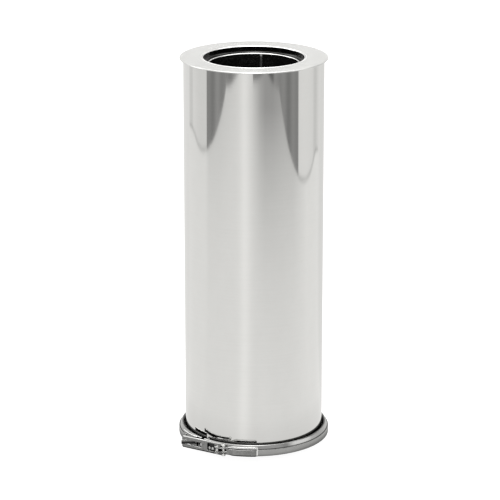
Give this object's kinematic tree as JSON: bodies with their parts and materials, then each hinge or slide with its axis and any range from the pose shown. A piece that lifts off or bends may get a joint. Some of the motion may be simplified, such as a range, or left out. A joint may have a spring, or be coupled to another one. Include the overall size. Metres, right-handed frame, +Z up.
{
  "type": "twin-wall flue pipe length",
  "caption": "Upright insulated twin-wall metal flue pipe with flat end rings, stepped socket, male collar and a V-section locking band with an over-centre lever latch.",
  "frame": {"origin": "on the pipe's axis at the rim of the male collar, the lowest point, on which it stands", "axes": "+Z up the pipe's axis from the male collar to the socket; -Y is the side the latch lever's grip ends on, and the latch's hook lies between -Y and -X"},
  "size_m": [0.2025, 0.2031, 0.514],
  "materials": {
    "bright_steel": "bright rolled stainless sheet, close to a mirror",
    "satin_steel": "satin stainless",
    "liner_steel": "dull rolled stainless",
    "latch_steel": "pressed stainless, half bright",
    "zinc_pin": "bright zinc",
    "mineral_wool": "compressed fibre wool, out of sight inside the casing",
    "seal_rubber": "matt black silicone"
  },
  "bodies": {
    "pipe": {"outer_casing": "bright_steel", "top_end_ring": "satin_steel", "bottom_end_ring": "satin_steel", "socket_collar": "bright_steel", "inner_liner": "liner_steel", "spigot_collar": "liner_steel", "spigot_seal": "seal_rubber", "insulation_left": "mineral_wool", "insulation_right": "mineral_wool"},
    "band": {"band_strap": "satin_steel", "v_retainer_left": "satin_steel", "v_retainer_right": "satin_steel", "keeper_hook": "latch_steel", "keeper_rivet_upper": "zinc_pin", "keeper_rivet_lower": "zinc_pin", "lever_bracket": "latch_steel", "bracket_rivet_left": "zinc_pin", "bracket_rivet_right": "zinc_pin", "lever_pivot_pin": "zinc_pin"},
    "lever": {"latch_lever": "latch_steel", "link_pin": "zinc_pin"},
    "link": {"draw_link": "latch_steel"}
  },
  "joints": [
    {"name": "band_swivel", "type": "hinge", "parent": "pipe", "child": "band", "pos_m": [0, 0, 0.017], "axis": [0, 0, 1], "continuous": true},
    {"name": "lever_hinge", "type": "hinge", "parent": "band", "child": "lever", "pos_m": [-0.05587, -0.08871, 0.017], "axis": [0, 0, -1], "range_deg": [0, 150]},
    {"name": "link_hinge", "type": "hinge", "parent": "lever", "child": "link", "pos_m": [-0.04785, -0.091, 0.017], "axis": [0, 0, -1], "range_deg": [-130, 0]}
  ],
  "couplings": [
    {"joint": "link_hinge", "follows": "lever_hinge", "ratio": -0.86}
  ]
}
